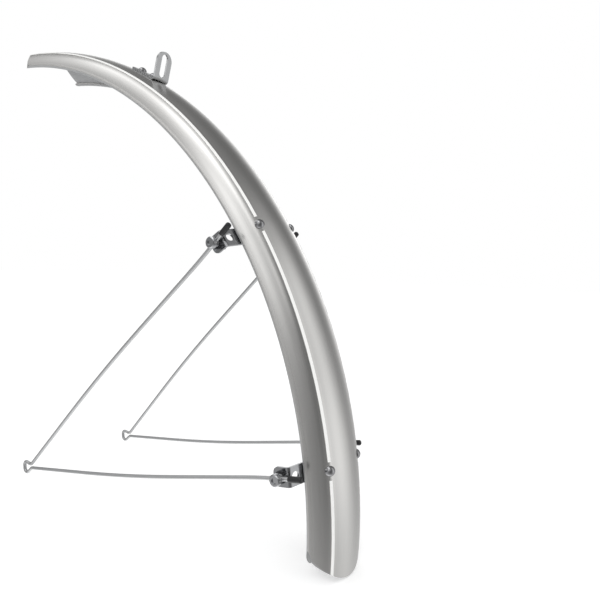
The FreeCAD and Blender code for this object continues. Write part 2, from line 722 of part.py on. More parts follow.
# Eyebolts: the shank has an eye below the head, and pulls the wire in it against the clamp washer
def bolt_outline():
    """Half section in the XY plane, the bolt's axis along Y."""
    head = size("bolt_head") / 2
    under = HEAD_UNDER
    top = under + size("bolt_head_length")
    recess = size("bolt_recess") / 2
    shank = size("bolt_shank") / 2
    edge = size("bolt_chamfer")
    end = EAR_FACE - size("bridge_sheet") - size("nut_height") - size("bolt_stand")
    floor = top - size("bolt_recess_depth")
    hollow = [flat(0, floor), flat(recess, floor), flat(recess, top)]
    rim = [flat(head - edge, top), flat(head, top - edge), flat(head, under)]
    thread = [flat(shank, under), flat(shank, end + edge), flat(shank - edge, end), flat(0, end)]
    return turned_outline(hollow + rim + thread)


def nut_outline():
    """A hexagon with a flat towards the fold of the ear."""
    corners = []
    reach = size("nut_flats") / 2 / math.cos(math.pi / 6)
    for number in range(6):
        turn = math.radians(60 * number + 30)
        corners.append(flat(reach * math.sin(turn), reach * math.cos(turn)))
    return turned_outline(corners)


def washer_outline():
    """A toothed rim; its teeth are straight-sided and stand on the root circle."""
    corners = []
    count = int(size("washer_teeth"))
    for number in range(2 * count):
        reach = size("washer_outer") if number % 2 else size("washer_root")
        turn = math.pi * number / count
        corners.append(flat(reach / 2 * math.sin(turn), reach / 2 * math.cos(turn)))
    return turned_outline(corners)


def corner_cut():
    """Section of the ring that takes the corners off the nut's free end."""
    free = EAR_FACE - size("bridge_sheet") - size("nut_height")
    reach = size("nut_flats") / 2 / math.cos(math.pi / 6)
    inner = size("nut_flats") / 2
    return turned_outline([flat(inner, free), flat(reach + CUT_PAST, free),
                           flat(reach + CUT_PAST, free + size("nut_chamfer")),
                           flat(reach, free + size("nut_chamfer"))])


def face_offset(distance):
    """Moves a sketch on the XZ plane to a distance along +Y."""
    return FreeCAD.Placement(FreeCAD.Vector(0, 0, -distance), FreeCAD.Rotation())


for clip, angle in CLIPS:
    for side_name, side in SIDES:
        where = "%s_%s" % (clip, side_name)
        place, turn = bolt_place(angle), bolt_turn(angle, side)

        bolt = new_body("%s_eyebolt" % where)
        outline = new_sketch(bolt, "HalfSection", "XY_Plane", bolt_outline())
        revolve(bolt, "Turned", outline, "V_Axis", "360")
        drill(bolt, "Eye", FreeCAD.Vector(0, WIRE_SIDE, 0), UP,
              "[stay_wire] + 2 * [wire_clearance]", 2 * size("bolt_shank"))
        place_part(bolt, place, turn)

        washer = new_body("%s_clamp_washer" % where)
        rim = new_sketch(washer, "Rim", "XZ_Plane", washer_outline(), face_offset(EAR_FACE))
        pad(washer, "Plate", rim, "[washer_sheet]", backwards=True)
        drill(washer, "Bore", FreeCAD.Vector(0, EAR_FACE, 0), SIDE,
              "[bolt_shank] + 2 * [hole_clearance]", DRILL_LENGTH)
        place_part(washer, place, turn)

        nut = new_body("%s_nut" % where)
        seat = face_offset(EAR_FACE - size("bridge_sheet"))
        hexagon = new_sketch(nut, "Hexagon", "XZ_Plane", nut_outline(), seat)
        pad(nut, "Prism", hexagon, "[nut_height]")
        ring = new_sketch(nut, "CornerCut", "XY_Plane", corner_cut())
        chamfer = nut.newObject("PartDesign::Groove", "Corners")
        chamfer.Profile = ring
        chamfer.ReferenceAxis = (ring, ["V_Axis"])
        chamfer.Angle = ROUND
        drill(nut, "Bore", FreeCAD.Vector(0, EAR_FACE - size("nut_height"), 0), SIDE,
              "[bolt_shank] + [hole_clearance]", 2 * DRILL_LENGTH)
        place_part(nut, place, seat_turn(angle) * FreeCAD.Rotation(UP, 90 * (1 - side)))


# Stays: one bent wire on each side, with an open eyelet at the axle end and a leg to each bolt
def space_path(points, radii):
    """Lines and tangent arcs along corner points in space."""
    edges = []
    start = points[0]
    for before, corner, after, radius in zip(points, points[1:], points[2:], radii):
        incoming = (corner - before).normalize()
        outgoing = (after - corner).normalize()
        reach = radius * math.tan(incoming.getAngle(outgoing) / 2)
        first, last = corner - incoming * reach, corner + outgoing * reach
        inward = (outgoing - incoming).normalize()
        centre_way = math.sqrt(reach ** 2 + radius ** 2)
        middle = corner + inward * (centre_way - radius)
        edges.append(Part.LineSegment(start, first).toShape())
        edges.append(Part.Arc(first, middle, last).toShape())
        start = last
    edges.append(Part.LineSegment(start, points[-1]).toShape())
    return edges


def wheel_plane(forward, up):
    return FreeCAD.Vector(forward, 0, up)


EYELET_SIDES = (97.0, -6.0, -131.0)


def eyelet_points():
    """Corners of the eyelet: three straight sides that touch the circle round its bolt."""
    reach = (size("eyelet_bore") + size("stay_wire")) / 2
    rays = [wheel_plane(math.cos(math.radians(turn)), math.sin(math.radians(turn))) for turn in EYELET_SIDES]

    def corner(first, second):
        half = first.getAngle(second) / 2
        return EYELET + (first + second).normalize() * (reach / math.cos(half))

    top, front, bottom = rays
    back_top = EYELET + top * reach + SIDE.cross(top) * -size("neck_reach")
    back_bottom = EYELET + bottom * reach + SIDE.cross(bottom) * size("neck_reach")
    return back_top, corner(top, front), corner(front, bottom), back_bottom


def leg_points(neck, angle, bow):
    """Corners with their side reach: the neck, the bow, the stretch to the bolt, the wire's end."""
    bolt = bolt_place(angle)
    way = wire_way(angle)
    before = bolt - way * size("leg_straight")
    up = SIDE.cross((before - neck).normalize())
    middle = (neck + before) / 2 + up * (2 * bow)
    return [(neck, size("eyelet_side")), (middle, (size("eyelet_side") + WIRE_SIDE) / 2),
            (before, WIRE_SIDE), (bolt + way * size("leg_end"), WIRE_SIDE)]


def soft_bend(before, corner, after):
    """The largest easy bend at a corner of a leg."""
    shorter = min((corner - before).Length, (after - corner).Length)
    turn = (corner - before).getAngle(after - corner)
    return 0.8 * shorter / 2 / math.tan(turn / 2)


def stay_path(side):
    upper_neck, top_corner, low_corner, lower_neck = eyelet_points()
    upper = leg_points(upper_neck, size("upper_clip_angle"), size("upper_leg_bow"))
    lower = leg_points(lower_neck, size("lower_clip_angle"), -size("lower_leg_bow"))
    loop = [(corner, size("eyelet_side")) for corner in (top_corner, low_corner)]
    points = [corner + SIDE * (side * reach) for corner, reach in upper[::-1] + loop + lower]
    tight = [size("neck_bend"), size("eyelet_bend"), size("eyelet_bend"), size("neck_bend")]
    first = len(upper) - 1
    radii = []
    for number in range(1, len(points) - 1):
        if first <= number < first + len(tight):
            radii.append(tight[number - first])
        else:
            radii.append(soft_bend(*points[number - 1:number + 2]))
    return space_path(points, radii)


for side_name, side in SIDES:
    wire = Part.Wire(stay_path(side))
    first = wire.Edges[0]
    start, way = first.valueAt(first.FirstParameter), first.tangentAt(first.FirstParameter)
    round_section = Part.Wire(Part.makeCircle(size("stay_wire") / 2, start, way))
    stay = doc.addObject("Part::Feature", "stay_%s" % side_name)
    stay.Label = stay.Name
    stay.Shape = wire.makePipeShell([round_section], True, False)
    expected = math.pi * (size("stay_wire") / 2) ** 2 * wire.Length
    print("stay_%s wire %.1f mm, volume %.1f of %.1f" % (side_name, wire.Length, stay.Shape.Volume, expected))
    place_part(stay)


# End caps: a closed sleeve over each end of a stay
def cap_outline():
    """Half section in the XZ plane, the wire's end at the origin and the wire below it."""
    outer = size("cap_outer") / 2
    bore = size("stay_wire") / 2 + size("wire_clearance")
    low = -size("cap_cover")
    top = low + size("cap_length")
    ledge = size("wire_clearance")
    nose = size("cap_nose")
    lip = (outer + bore) / 2
    along = math.sin(math.pi / 4)
    corner = [flat(outer, top - nose), flat(outer - nose * (1 - along), top - nose * (1 - along)),
              flat(outer - nose, top)]
    lines = [flat(outer - nose, top), flat(0, top), flat(0, ledge), flat(bore, ledge), flat(bore, low),
             flat(lip, low), flat(outer, low + size("cap_taper")), flat(outer, top - nose)]
    return [Part.Arc(*corner)] + [Part.LineSegment(a, b) for a, b in zip(lines, lines[1:])]


for clip, angle in CLIPS:
    for side_name, side in SIDES:
        cap = new_body("%s_%s_cap" % (clip, side_name))
        outline = new_sketch(cap, "HalfSection", "XZ_Plane", cap_outline())
        revolve(cap, "Sleeve", outline, "V_Axis", "360")
        wire_end = bolt_place(angle) + wire_way(angle) * size("leg_end") + SIDE * (side * WIRE_SIDE)
        place_part(cap, wire_end, bolt_turn(angle, side))

# Check every object and write one file for each piece
doc.recompute()
NODES = [item for item in doc.Objects
         if item.TypeId in ("PartDesign::Body", "Part::Feature") and item.Label == item.Name]
for item in doc.Objects:
    if "Invalid" in item.State or "Error" in item.State:
        raise RuntimeError("%s of %s failed" % (item.Label, [parent.Label for parent in item.InList]))
os.makedirs("parts", exist_ok=True)
for item in NODES:
    if item.Shape.isNull() or not item.Shape.isValid() or not item.Shape.Solids:
        raise RuntimeError("%s has no valid solid" % item.Label)
    item.Shape.exportStep("parts/%s.step" % item.Label)
    print("%-24s %d solid(s) %10.1f mm3" % (item.Label, len(item.Shape.Solids), item.Shape.Volume))
print("slot from the wheel's centre: %.2f %.2f" % (SLOT.x, SLOT.z))
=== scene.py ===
# %% [markdown]
# # A silver bicycle mudguard
# The solids of the mudguard come from the CAD model and stay where they are. This lesson gives each of them the
# finish of the real one, then sets up a plain studio and the camera. It adds no piece to the mudguard itself.

# %% Load the mudguard
import math
import bpy
import bmesh
from mathutils import Matrix, Vector


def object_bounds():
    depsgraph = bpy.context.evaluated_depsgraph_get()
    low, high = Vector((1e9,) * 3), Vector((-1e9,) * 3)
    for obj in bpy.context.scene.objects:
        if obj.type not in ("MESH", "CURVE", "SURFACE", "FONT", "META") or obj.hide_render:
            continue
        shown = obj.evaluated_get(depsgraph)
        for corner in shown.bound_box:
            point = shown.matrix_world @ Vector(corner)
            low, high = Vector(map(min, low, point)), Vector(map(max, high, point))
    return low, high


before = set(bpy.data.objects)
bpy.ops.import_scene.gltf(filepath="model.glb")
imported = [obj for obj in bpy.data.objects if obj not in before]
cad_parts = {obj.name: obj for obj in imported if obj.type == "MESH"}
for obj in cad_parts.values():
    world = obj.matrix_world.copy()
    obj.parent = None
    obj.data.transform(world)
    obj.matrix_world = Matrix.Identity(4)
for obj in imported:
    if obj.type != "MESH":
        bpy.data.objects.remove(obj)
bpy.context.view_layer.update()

print("nodes:", len(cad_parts))

# %% [markdown]
# ## Where the wheel is
# Most of the mudguard follows the wheel, so patterns on it are easiest to draw about the wheel's centre.
# The part's own origin is the slot in the bracket, and these are the wheel's centre and size seen from there.

# %% The wheel's place
wheel_centre = Vector((0.18491, 0.0, -0.32819))
crown_reach = 0.365
print("the crown stands", crown_reach, "m from the wheel's centre")

# %% [markdown]
# ## Colours
# A colour is written as its sRGB hex value, as a paint chart gives it, and the shader wants it linear.

# %% Colours from a paint chart
def linear(hex_value):
    """A colour from its sRGB hex value, as a shader reads it."""
    channels = [int(hex_value[i:i + 2], 16) / 255 for i in (1, 3, 5)]
    return [c / 12.92 if c <= 0.04045 else ((c + 0.055) / 1.055) ** 2.4 for c in channels] + [1.0]


white = linear("#ffffff")
print("white is", white, "and a middle grey is", [round(c, 3) for c in linear("#808080")])

# %% [markdown]
# ## Finishes
# One small function adds a node, sets its values and links its inputs, so each finish below reads as a recipe.
# A second one starts a finish with its shader, a third puts it on nodes of the CAD model, and the last one finds
# nodes that have the same job by the end of their name.

# %% Node and finish helpers
def add(tree, kind, settings=None, **inputs):
    """Adds a node and links each value that is a socket. Base_Color is an input's name, _6 its place."""
    node = tree.nodes.new(kind)
    for name, value in (settings or {}).items():
        setattr(node, name, value)
    for name, value in inputs.items():
        key = int(name[1:]) if name[0] == "_" else name.replace("_", " ")
        if isinstance(value, bpy.types.NodeSocket):
            tree.links.new(value, node.inputs[key])
        else:
            node.inputs[key].default_value = value
    return node


def new_finish(name, **constants):
    """A material with one Principled shader whose plain numbers are set on its own sockets."""
    material = bpy.data.materials.new(name)
    material.use_nodes = True
    tree = material.node_tree
    tree.nodes.clear()
    shader = add(tree, "ShaderNodeBsdfPrincipled", **constants)
    add(tree, "ShaderNodeOutputMaterial", Surface=shader.outputs[0])
    return material, tree, shader


def dress(material, *names):
    """Gives nodes of the CAD model a finish."""
    for name in names:
        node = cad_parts[name]
        if not node.material_slots:
            node.data.materials.append(material)
        for slot in node.material_slots:
            slot.material = material
    print(material.name, "on", len(names), "node(s)")


def nodes_ending(word):
    """Names of the CAD nodes whose name ends with a word."""
    return [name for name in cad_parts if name.endswith(word)]


print("the eyebolts are", nodes_ending("eyebolt"))

# %% [markdown]
# ## Coordinates that follow the blade
# The blade was rolled lengthwise through a mill, so its grain runs along the arc. Object coordinates are
# straight, and a grain drawn in them would run off the blade. The angle about the wheel's axis, times the
# radius, is the way along the arc, and the distance from the axis is the way through the sheet.

# %% Arc coordinates
def arc_place(tree):
    """Sockets for the way along the arc, the side reach, the distance from the axle and the way out from it."""
    place = add(tree, "ShaderNodeTexCoord").outputs["Object"]
    about = add(tree, "ShaderNodeVectorMath", {"operation": "SUBTRACT"}, _0=place, _1=wheel_centre)
    parts = add(tree, "ShaderNodeSeparateXYZ", Vector=about.outputs[0])
    turn = add(tree, "ShaderNodeMath", {"operation": "ARCTAN2"}, _0=parts.outputs["X"], _1=parts.outputs["Z"])
    along = add(tree, "ShaderNodeMath", {"operation": "MULTIPLY"}, _0=turn.outputs[0], _1=crown_reach)
    flat = add(tree, "ShaderNodeCombineXYZ", X=parts.outputs["X"], Z=parts.outputs["Z"])
    reach = add(tree, "ShaderNodeVectorMath", {"operation": "LENGTH"}, _0=flat.outputs[0])
    return along.outputs[0], parts.outputs["Y"], reach.outputs["Value"], flat.outputs[0]


print("one degree of the arc is", round(crown_reach * math.radians(1) * 1000, 1), "mm long")

# %% [markdown]
# ## Streaks
# Rolling draws the grain of a sheet out into streaks. Noise whose way along the arc is pressed together looks
# the same: streaks that are longer than they are wide. Its values lie mostly between 0.3 and 0.7.

# %% Stretched noise
noise_low, noise_high = 0.3, 0.7


def stretched_noise(tree, along, side, reach, grain, length, detail):
    """Noise whose streaks are length metres long and grain metres wide."""
    spread = add(tree, "ShaderNodeMath", {"operation": "MULTIPLY"}, _0=along, _1=grain / length)
    vector = add(tree, "ShaderNodeCombineXYZ", X=spread.outputs[0], Y=side, Z=reach)
    noise = add(tree, "ShaderNodeTexNoise", Vector=vector.outputs[0], Scale=1 / grain, Detail=detail)
    return noise.outputs["Fac"]


print("noise is read from", noise_low, "to", noise_high)

# %% [markdown]
# ## Silver laminate of the blade
# The sheet is a thin aluminium foil between two plastic ones. Outside it shows the satin foil through a clear
# skin: a metal with fine lengthwise rolling marks, under a weak gloss. The real marks are a few hundredths of a
# millimetre wide. They are drawn 0.35 mm wide so that they show. A broader, fainter cloud keeps the foil from
# being one flat colour.

# %% Foil
marks_width, marks_length = 0.00035, 0.02
cloud_width, cloud_length = 0.012, 0.06
blade_finish, tree, shader = new_finish("silver_laminate", Coat_Weight=0.2, Coat_Roughness=0.15)
along, side, reach, flat_way = arc_place(tree)
rolled = stretched_noise(tree, along, side, reach, marks_width, marks_length, detail=3.0)
cloudy = stretched_noise(tree, along, side, reach, cloud_width, cloud_length, detail=2.0)
foil = add(tree, "ShaderNodeMix", {"data_type": "RGBA"}, _0=cloudy, _6=linear("#d9d8d6"), _7=linear("#e1e0de"))
marks = add(tree, "ShaderNodeMapRange", Value=rolled, From_Min=noise_low, From_Max=noise_high,
            To_Min=0.93, To_Max=1.0)
mark_grey = add(tree, "ShaderNodeCombineColor", Red=marks.outputs[0], Green=marks.outputs[0],
                Blue=marks.outputs[0])
streaked = add(tree, "ShaderNodeMix", {"data_type": "RGBA", "blend_type": "MULTIPLY"}, _0=0.5,
               _6=foil.outputs[2], _7=mark_grey.outputs[0])
print("rolling marks", marks_width * 1000, "mm wide and", marks_length * 1000, "mm long")

# %% [markdown]
# ## Inside and cut ends of the blade
# Inside, towards the tyre, the sheet is a plain grey plastic that takes the dirt. One material does both sides:
# the surface's direction is compared with the way out from the axle, which needs no second mesh. Where the sheet
# was cut at its ends, the plastic shows a little darker. Those faces look along the arc, so their direction is
# compared with the arc's own. The way out is about 0.36 m long and isn't brought to a length of 1, so a limit of
# -0.06 stands for a cosine of about -0.16.

# %% Inside and cut ends
inside_limit = -0.06
cut_limit = 0.1
normal = add(tree, "ShaderNodeTexCoord").outputs["Normal"]
outward = add(tree, "ShaderNodeVectorMath", {"operation": "DOT_PRODUCT"}, _0=normal, _1=flat_way)
inwards = add(tree, "ShaderNodeMath", {"operation": "LESS_THAN"}, _0=outward.outputs["Value"], _1=inside_limit)
arc_way = add(tree, "ShaderNodeVectorMath", {"operation": "CROSS_PRODUCT"}, _0=flat_way,
              _1=(0, 1 / crown_reach, 0))
lengthwise = add(tree, "ShaderNodeVectorMath", {"operation": "DOT_PRODUCT"}, _0=normal, _1=arc_way.outputs[0])
endwise = add(tree, "ShaderNodeMath", {"operation": "ABSOLUTE"}, _0=lengthwise.outputs["Value"])
cut = add(tree, "ShaderNodeMath", {"operation": "GREATER_THAN"}, _0=endwise.outputs[0], _1=cut_limit)
inside = add(tree, "ShaderNodeMath", {"operation": "MAXIMUM"}, _0=inwards.outputs[0], _1=cut.outputs[0])
plastic = add(tree, "ShaderNodeMix", {"data_type": "RGBA"}, _0=cut.outputs[0], _6=linear("#a9aaab"),
              _7=linear("#8b8c8c"))
skin = add(tree, "ShaderNodeMix", {"data_type": "RGBA"}, _0=inside.outputs[0], _6=streaked.outputs[2],
           _7=plastic.outputs[2])
tree.links.new(skin.outputs[2], shader.inputs["Base Color"])
print("plastic where the cosine of the way out is below", round(inside_limit / crown_reach, 2))

# %% [markdown]
# ## Sheen of the blade
# The rolling marks make the foil a little rougher in streaks. The rolled bead along each edge is rubbed duller
# than the flank above it, and the plastic inside is dull all over and no metal.

# %% Sheen
bead_top = 0.349
bead_blend = 0.0004
plastic_roughness = 0.55
satin = add(tree, "ShaderNodeMapRange", Value=rolled, From_Min=noise_low, From_Max=noise_high,
            To_Min=0.20, To_Max=0.27)
rubbed = add(tree, "ShaderNodeMapRange", Value=reach, From_Min=bead_top - bead_blend,
             From_Max=bead_top + bead_blend, To_Min=0.2, To_Max=0.0)
worn = add(tree, "ShaderNodeMath", {"operation": "ADD"}, _0=satin.outputs[0], _1=rubbed.outputs[0])
dull = add(tree, "ShaderNodeMix", _0=inside.outputs[0], _2=worn.outputs[0], _3=plastic_roughness)
foil_metal = add(tree, "ShaderNodeMath", {"operation": "SUBTRACT"}, _0=1.0, _1=inside.outputs[0])
tree.links.new(dull.outputs[0], shader.inputs["Roughness"])
tree.links.new(foil_metal.outputs[0], shader.inputs["Metallic"])
print("the bead is duller below", bead_top, "m from the axle")

# %% [markdown]
# ## Crowned flanks
# The solid's flanks are flat. The reflections on the real ones show that each is crowned by about a millimetre
# between the bead and the bend, which hardly shows in the outline. A broad, smooth relief across the flank curves
# the reflections in the same way. The place across runs from -1 at the bead to 1 at the bend, and the height
# falls with its square. It falls more steeply near the bend, which makes the dark line there, and past 0.95 it is
# eased out, so that the relief ends without a step. The rolling marks are a second, much finer relief on it.

# %% Flanks
flank_middle, flank_half = 0.3546, 0.0066
flank_crowning, marks_depth = 0.00096, 0.0002
ease_from, ease_width = 0.95, 0.3
bend_side, bend_fall = 0.2, 0.947
across = add(tree, "ShaderNodeMapRange", {"clamp": False}, Value=reach, From_Min=flank_middle - flank_half,
             From_Max=flank_middle + flank_half, To_Min=-1.0, To_Max=1.0)
to_bend = add(tree, "ShaderNodeMath", {"operation": "SMOOTH_MIN"}, _0=across.outputs[0], _1=ease_from,
              _2=ease_width)
eased = add(tree, "ShaderNodeMath", {"operation": "SMOOTH_MAX"}, _0=to_bend.outputs[0], _1=-ease_from,
            _2=ease_width)
fall = add(tree, "ShaderNodeMath", {"operation": "MULTIPLY"}, _0=eased.outputs[0], _1=eased.outputs[0])
past = add(tree, "ShaderNodeMapRange", Value=eased.outputs[0], From_Min=bend_side, From_Max=1.0,
           To_Max=bend_fall)
soft_bend = add(tree, "ShaderNodeMath", {"operation": "MULTIPLY"}, _0=past.outputs[0], _1=past.outputs[0])
drop = add(tree, "ShaderNodeMath", {"operation": "ADD"}, _0=fall.outputs[0], _1=soft_bend.outputs[0])
rise = add(tree, "ShaderNodeMath", {"operation": "SUBTRACT"}, _0=1.0, _1=drop.outputs[0])
crowned = add(tree, "ShaderNodeBump", Strength=1.0, Distance=flank_crowning, Height=rise.outputs[0])
relief = add(tree, "ShaderNodeBump", Strength=0.06, Distance=marks_depth, Height=rolled,
             Normal=crowned.outputs[0])
tree.links.new(relief.outputs[0], shader.inputs["Normal"])
dress(blade_finish, "blade")

# %% [markdown]
# ## White pinstripes
# A narrow strip of white foil runs over each bend. It could be painted into the blade's own finish, but the
# model has it as a thin piece of its own, which keeps its edges sharp. The foil is smooth and a little glossy,
# and a slight waviness, 1.5 mm wide and 30 mm long, keeps its highlight from being a ruled line.

# %% Pinstripe finish
wave_width, wave_length, wave_depth = 0.0015, 0.03, 0.0001
stripe_finish, tree, shader = new_finish("white_foil", Base_Color=linear("#fbfbf9"), Roughness=0.32,
                                         Coat_Weight=0.2)
along, side, reach, _ = arc_place(tree)
wavy = stretched_noise(tree, along, side, reach, wave_width, wave_length, detail=2.0)
relief = add(tree, "ShaderNodeBump", Strength=0.1, Distance=wave_depth, Height=wavy)
tree.links.new(relief.outputs[0], shader.inputs["Normal"])
dress(stripe_finish, "pinstripe_left", "pinstripe_right")

# %% [markdown]
# ## Teeth of the bracket
# The long edges of the bracket's base have fine teeth. They are too small for a solid, so they are a relief, a
# wave along the arc on the faces that look sideways and lie low. The tab above them stays smooth. The real
# teeth look finer than 2.4 mm, but then they wouldn't show.

# %% Teeth
tooth_pitch, tooth_depth = 0.0024, 0.0002
base_top = crown_reach + 0.0025
edge_limit = 0.7


def edge_teeth(tree, below):
    """The teeth along the base's edges, as a relief over another one."""
    along, _, reach, _ = arc_place(tree)
    facing = add(tree, "ShaderNodeSeparateXYZ", Vector=add(tree, "ShaderNodeTexCoord").outputs["Normal"])
    sideways = add(tree, "ShaderNodeMath", {"operation": "ABSOLUTE"}, _0=facing.outputs["Y"])
    on_edge = add(tree, "ShaderNodeMath", {"operation": "GREATER_THAN"}, _0=sideways.outputs[0], _1=edge_limit)
    on_base = add(tree, "ShaderNodeMath", {"operation": "LESS_THAN"}, _0=reach, _1=base_top)
    place = add(tree, "ShaderNodeMath", {"operation": "MULTIPLY"}, _0=on_edge.outputs[0], _1=on_base.outputs[0])
    phase = add(tree, "ShaderNodeMath", {"operation": "MULTIPLY"}, _0=along, _1=2 * math.pi / tooth_pitch)
    wave = add(tree, "ShaderNodeMath", {"operation": "SINE"}, _0=phase.outputs[0])
    height = add(tree, "ShaderNodeMath", {"operation": "MULTIPLY"}, _0=wave.outputs[0], _1=place.outputs[0])
    return add(tree, "ShaderNodeBump", Strength=1.0, Distance=tooth_depth, Height=height.outputs[0],
               Normal=below)


print("teeth every", tooth_pitch * 1000, "mm")

# %% [markdown]
# ## Zinc-plated steel strip
# Bridges and bracket are stamped from steel strip and plated with bright zinc: a mirror with a faint cloud,
# because the plating follows the mill surface below it. Clouds are 2 to 3 mm across. The grit in them is finer
# on the real strip, and is drawn 0.4 mm wide so that it shows. The same recipe, with other colours and clouds,
# makes the rivets, nuts and washers further on.

# %% Plated strip finish
grit_width, grit_depth = 0.0004, 0.00005
clearest, cloudiest = 0.8, 1.3


def plated(name, colour, roughness, cloud_width, cloud_depth, toothed=False):
    """Bright plating over rolled steel, with teeth on its edges where toothed is true."""
    material, tree, shader = new_finish(name, Metallic=1.0, Base_Color=linear(colour))
    place = add(tree, "ShaderNodeTexCoord").outputs["Object"]
    cloud = add(tree, "ShaderNodeTexNoise", Vector=place, Scale=1 / cloud_width, Detail=4.0)
    grit = add(tree, "ShaderNodeTexNoise", Vector=place, Scale=1 / grit_width, Detail=2.0)
    blend = add(tree, "ShaderNodeMapRange", Value=cloud.outputs["Fac"], From_Min=noise_low,
                From_Max=noise_high, To_Min=roughness * clearest, To_Max=roughness * cloudiest)
    relief = add(tree, "ShaderNodeBump", Strength=0.12, Distance=cloud_depth, Height=cloud.outputs["Fac"])
    fine = add(tree, "ShaderNodeBump", Strength=0.05, Distance=grit_depth, Height=grit.outputs["Fac"],
               Normal=relief.outputs[0])
    if toothed:
        fine = edge_teeth(tree, fine.outputs[0])
    tree.links.new(blend.outputs[0], shader.inputs["Roughness"])
    tree.links.new(fine.outputs[0], shader.inputs["Normal"])
    return material


dress(plated("zinc_plated_strip", "#a9aaac", roughness=0.14, cloud_width=0.0025, cloud_depth=0.0002),
      "upper_bridge", "lower_bridge")
dress(plated("zinc_plated_bracket", "#b6b7b8", roughness=0.24, cloud_width=0.003, cloud_depth=0.0002,
             toothed=True), "fork_crown_bracket")

# %% [markdown]
# ## Rivets
# The rivet heads are drawn aluminium, bright from the snap tool, with a few soft tool marks about 1 mm across.
# They are the smoothest pieces of all, so each shows a small sharp picture of the room. The recipe for plated
# strip makes them too, with a lower roughness.

# %% Rivet finish
rivets = [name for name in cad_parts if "rivet" in name]
dress(plated("bright_aluminium_rivet", "#a6a6a8", roughness=0.09, cloud_width=0.0012, cloud_depth=0.0001),
      *rivets)

# %% [markdown]
# ## Bolts and nuts
# Eyebolts and nuts are turned or pressed and then bright plated. The threads are too fine to model for a part
# of this size, so they are a relief: rings every 0.8 mm along the bolt, which lies across the blade. A real
# thread climbs round the bolt, and at this pitch rings look the same. They stop under the head, at the height
# where the shank ends.

# %% Bolt finish
thread_pitch, thread_depth = 0.0008, 0.0003
head_under = 0.0399
bolt_finish, tree, shader = new_finish("bright_plated_bolt", Metallic=1.0, Base_Color=linear("#bcbdbf"),
                                       Roughness=0.13)
place = add(tree, "ShaderNodeTexCoord").outputs["Object"]
parts = add(tree, "ShaderNodeSeparateXYZ", Vector=place)
depth = add(tree, "ShaderNodeMath", {"operation": "ABSOLUTE"}, _0=parts.outputs["Y"])
phase = add(tree, "ShaderNodeMath", {"operation": "MULTIPLY"}, _0=depth.outputs[0],
            _1=2 * math.pi / thread_pitch)
ring = add(tree, "ShaderNodeMath", {"operation": "SINE"}, _0=phase.outputs[0])
on_shank = add(tree, "ShaderNodeMath", {"operation": "LESS_THAN"}, _0=depth.outputs[0], _1=head_under)
thread = add(tree, "ShaderNodeMath", {"operation": "MULTIPLY"}, _0=ring.outputs[0], _1=on_shank.outputs[0])
relief = add(tree, "ShaderNodeBump", Strength=0.8, Distance=thread_depth, Height=thread.outputs[0])
tree.links.new(relief.outputs[0], shader.inputs["Normal"])
dress(bolt_finish, *nodes_ending("eyebolt"))
dress(plated("bright_plated_nut", "#c6c7c9", roughness=0.2, cloud_width=0.0015, cloud_depth=0.0001),
      *nodes_ending("nut"))

# %% [markdown]
# ## Clamp washers
# The toothed washers that grip the wires are spring steel. Hardening leaves a dark film on it, so they are a
# darker grey than all the plated pieces and mirror less of the room.

# %% Washer finish
dress(plated("dark_spring_steel", "#6b6c6e", roughness=0.3, cloud_width=0.0012, cloud_depth=0.0001),
      *nodes_ending("clamp_washer"))

# %% [markdown]
# ## Stay wires
# The stays are stainless wire, drawn through a die, which leaves faint lines along the wire. Lines that follow
# its bends would need coordinates of their own, and at this scale a fine noise reads as that draw. The real
# lines are a few hundredths of a millimetre wide. The noise is drawn 0.6 mm wide so that it shows.

# %% Stay finish
draw_width = 0.0006
wire_finish, tree, shader = new_finish("drawn_stainless_wire", Metallic=0.8)
place = add(tree, "ShaderNodeTexCoord").outputs["Object"]
draw = add(tree, "ShaderNodeTexNoise", Vector=place, Scale=1 / draw_width, Detail=3.0)
tone = add(tree, "ShaderNodeMix", {"data_type": "RGBA"}, _0=draw.outputs["Fac"], _6=linear("#b9babb"),
           _7=linear("#cccdce"))
satin = add(tree, "ShaderNodeMapRange", Value=draw.outputs["Fac"], To_Min=0.24, To_Max=0.40)
tree.links.new(tone.outputs[2], shader.inputs["Base Color"])
tree.links.new(satin.outputs[0], shader.inputs["Roughness"])
dress(wire_finish, "stay_left", "stay_right")

# %% [markdown]
# ## End caps
# Each wire ends in a moulded black PVC cap with a soft sheen and the fine grain of its mould. A noise on Object
# coordinates makes the grain, and needs no unwrapping. It is drawn 0.5 mm wide, coarser than it is, to show.

# %% Cap finish
mould_grain, mould_depth = 0.0005, 0.0001
cap_finish, tree, shader = new_finish("black_moulded_pvc", Base_Color=linear("#242426"), Roughness=0.42)
place = add(tree, "ShaderNodeTexCoord").outputs["Object"]
mould = add(tree, "ShaderNodeTexNoise", Vector=place, Scale=1 / mould_grain, Detail=2.0)
relief = add(tree, "ShaderNodeBump", Strength=0.2, Distance=mould_depth, Height=mould.outputs["Fac"])
tree.links.new(relief.outputs[0], shader.inputs["Normal"])
dress(cap_finish, *nodes_ending("cap"))

# %% [markdown]
# ## The floor
# A plain white floor lies just under the lowest point of the part and keeps its soft shadow. It is a single
# square, large enough to reach behind everything that the camera sees.

# %% Floor
floor_half = 6.0
floor_gap = 0.0005
low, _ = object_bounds()
grid = bmesh.new()
bmesh.ops.create_grid(grid, x_segments=1, y_segments=1, size=floor_half)
bmesh.ops.translate(grid, verts=grid.verts, vec=(0, 0, low[2] - floor_gap))
floor_mesh = bpy.data.meshes.new("floor")
grid.to_mesh(floor_mesh)
grid.free()
floor = bpy.data.objects.new("floor", floor_mesh)
bpy.context.scene.collection.objects.link(floor)
print("floor at", round(low[2] - floor_gap, 4))

